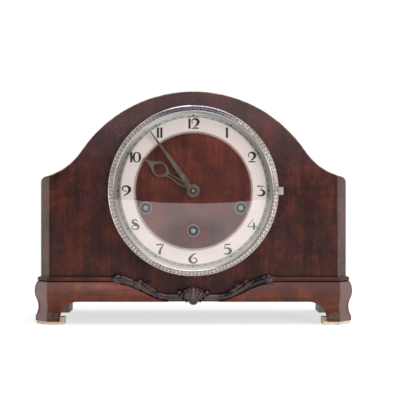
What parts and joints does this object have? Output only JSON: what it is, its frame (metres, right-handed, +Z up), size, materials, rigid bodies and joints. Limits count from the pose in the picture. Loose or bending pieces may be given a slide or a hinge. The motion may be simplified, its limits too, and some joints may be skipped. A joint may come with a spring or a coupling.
{
  "type": "mantel clock",
  "caption": "Tambour mantel clock: arched wood case on bracket feet, carved front, round glazed bezel door over a silvered dial, pendulum movement with chime hammers behind",
  "frame": {"origin": "on the surface the feet stand on, under the middle of the overall box", "axes": "+X to the viewer's right along the width, +Y from the dial towards the back, +Z up"},
  "size_m": [0.3842, 0.1685, 0.279],
  "materials": {
    "case_wood": "dark reddish-brown veneer, satin polish",
    "strip_wood": "lighter brown veneer, satin polish",
    "plinth_wood": "red-brown stained moulding, satin polish",
    "carved_wood": "very dark stained carving, gloss polish",
    "pale_wood": "bare pale softwood",
    "dial_wood": "dark veneer dial centre, satin polish",
    "silvered": "matt silvered",
    "polished_trim": "polished and lightly tarnished",
    "bezel_metal": "worn nickel over chased brass",
    "glass": "clear polished",
    "hand_metal": "grey patinated",
    "brass": "brushed, lightly lacquered",
    "steel": "plain turned",
    "iron": "black painted casting"
  },
  "bodies": {
    "case": {"front_panel": "case_wood", "corner_strips": "strip_wood", "arched_top": "case_wood", "side_panels": "case_wood", "bottom_board": "pale_wood", "back_frame": "case_wood", "plinth_left": "plinth_wood", "plinth_right": "plinth_wood", "bead_mouldings": "plinth_wood", "foot_blocks": "pale_wood", "carved_swags": "carved_wood", "carved_shell": "carved_wood", "dial_plate": "brass", "chapter_ring": "silvered", "dial_line_ring": "polished_trim", "dial_centre": "dial_wood", "winding_grommets": "polished_trim", "bezel_hinge_bracket": "bezel_metal", "door_hinge_plates": "brass", "movement_front_plate": "brass", "movement_back_plate": "brass", "plate_pillars": "brass", "movement_posts": "brass", "movement_screws": "steel", "suspension_cock": "brass", "gong_block": "iron", "gong_rods": "steel", "hammer_rail": "steel"},
    "bezel": {"bezel_ring": "bezel_metal", "bezel_glass": "glass", "glass_ring": "bezel_metal", "bezel_catch_tab": "bezel_metal", "bezel_hinge_leaf": "bezel_metal"},
    "rear_door": {"back_door": "case_wood", "door_hinge_leaves": "brass"},
    "latch": {"door_latch": "brass"},
    "minute": {"centre_wheel": "brass", "cannon_pinion": "steel", "minute_hand": "hand_metal", "hand_nut": "hand_metal"},
    "minute_work": {"minute_wheel": "brass"},
    "hour": {"hour_wheel": "brass", "hour_hand": "hand_metal"},
    "intermediate": {"intermediate_wheel": "brass"},
    "going_drum": {"going_barrel": "brass"},
    "third": {"third_wheel": "brass"},
    "escape": {"escape_wheel": "brass"},
    "pendulum": {"pallet_anchor": "steel", "pendulum_rod": "steel", "pendulum_bob": "brass", "rating_nut": "brass"},
    "going_arbor": {"going_winding_arbor": "steel"},
    "strike_arbor": {"strike_winding_arbor": "steel"},
    "chime_arbor": {"chime_winding_arbor": "steel"},
    "strike_drum": {"strike_barrel": "brass"},
    "chime_drum": {"chime_barrel": "brass"},
    "hammer_arm_1": {"hammer_1": "steel"},
    "hammer_arm_2": {"hammer_2": "steel"},
    "hammer_arm_3": {"hammer_3": "steel"},
    "hammer_arm_4": {"hammer_4": "steel"}
  },
  "joints": [
    {"name": "bezel_swing", "type": "hinge", "parent": "case", "child": "bezel", "pos_m": [-0.1047, -0.07015, 0.1597], "axis": [0, 0, -1], "range_deg": [0, 105]},
    {"name": "back_door_swing", "type": "hinge", "parent": "case", "child": "rear_door", "pos_m": [-0.0962, 0.07425, 0.135], "axis": [0, 0, 1], "range_deg": [0, 110]},
    {"name": "door_latch_turn", "type": "hinge", "parent": "rear_door", "child": "latch", "pos_m": [0.078, 0.07225, 0.14], "axis": [0, 1, 0], "range_deg": [0, 90]},
    {"name": "minute_hand_turn", "type": "hinge", "parent": "case", "child": "minute", "pos_m": [0, 0, 0.1597], "axis": [0, 1, 0], "continuous": true},
    {"name": "minute_wheel_turn", "type": "hinge", "parent": "case", "child": "minute_work", "pos_m": [0.01609, 0, 0.1732], "axis": [0, 1, 0], "continuous": true},
    {"name": "hour_hand_turn", "type": "hinge", "parent": "case", "child": "hour", "pos_m": [0, 0, 0.1597], "axis": [0, 1, 0], "continuous": true},
    {"name": "intermediate_wheel_turn", "type": "hinge", "parent": "case", "child": "intermediate", "pos_m": [0.02021, 0, 0.14179], "axis": [0, 1, 0], "continuous": true},
    {"name": "going_barrel_turn", "type": "hinge", "parent": "case", "child": "going_drum", "pos_m": [0, 0, 0.112], "axis": [0, 1, 0], "continuous": true},
    {"name": "third_wheel_turn", "type": "hinge", "parent": "case", "child": "third", "pos_m": [-0.01762, 0, 0.17448], "axis": [0, 1, 0], "continuous": true},
    {"name": "escape_wheel_turn", "type": "hinge", "parent": "case", "child": "escape", "pos_m": [0, 0, 0.18352], "axis": [0, 1, 0], "continuous": true},
    {"name": "pendulum_swing", "type": "hinge", "parent": "case", "child": "pendulum", "pos_m": [0, 0.00625, 0.20552], "axis": [0, 1, 0], "range_deg": [-4, 4]},
    {"name": "going_winding_turn", "type": "hinge", "parent": "case", "child": "going_arbor", "pos_m": [0, 0, 0.112], "axis": [0, 1, 0], "continuous": true},
    {"name": "strike_winding_turn", "type": "hinge", "parent": "case", "child": "strike_arbor", "pos_m": [-0.057, 0, 0.1393], "axis": [0, 1, 0], "continuous": true},
    {"name": "chime_winding_turn", "type": "hinge", "parent": "case", "child": "chime_arbor", "pos_m": [0.057, 0, 0.1393], "axis": [0, 1, 0], "continuous": true},
    {"name": "strike_barrel_turn", "type": "hinge", "parent": "case", "child": "strike_drum", "pos_m": [-0.057, 0, 0.1393], "axis": [0, 1, 0], "continuous": true},
    {"name": "chime_barrel_turn", "type": "hinge", "parent": "case", "child": "chime_drum", "pos_m": [0.057, 0, 0.1393], "axis": [0, 1, 0], "continuous": true},
    {"name": "hammer_1_lift", "type": "hinge", "parent": "case", "child": "hammer_arm_1", "pos_m": [-0.06, 0, 0.0937], "axis": [0, 1, 0], "range_deg": [0, 18]},
    {"name": "hammer_2_lift", "type": "hinge", "parent": "case", "child": "hammer_arm_2", "pos_m": [-0.06, 0, 0.0937], "axis": [0, 1, 0], "range_deg": [0, 18]},
    {"name": "hammer_3_lift", "type": "hinge", "parent": "case", "child": "hammer_arm_3", "pos_m": [-0.06, 0, 0.0937], "axis": [0, 1, 0], "range_deg": [0, 18]},
    {"name": "hammer_4_lift", "type": "hinge", "parent": "case", "child": "hammer_arm_4", "pos_m": [-0.06, 0, 0.0937], "axis": [0, 1, 0], "range_deg": [0, 18]}
  ],
  "couplings": [
    {"joint": "minute_wheel_turn", "follows": "minute_hand_turn", "ratio": -0.33333},
    {"joint": "hour_hand_turn", "follows": "minute_hand_turn", "ratio": 0.083333},
    {"joint": "intermediate_wheel_turn", "follows": "minute_hand_turn", "ratio": -0.2},
    {"joint": "going_barrel_turn", "follows": "minute_hand_turn", "ratio": 0.04},
    {"joint": "third_wheel_turn", "follows": "minute_hand_turn", "ratio": -10.5},
    {"joint": "escape_wheel_turn", "follows": "minute_hand_turn", "ratio": 105}
  ]
}
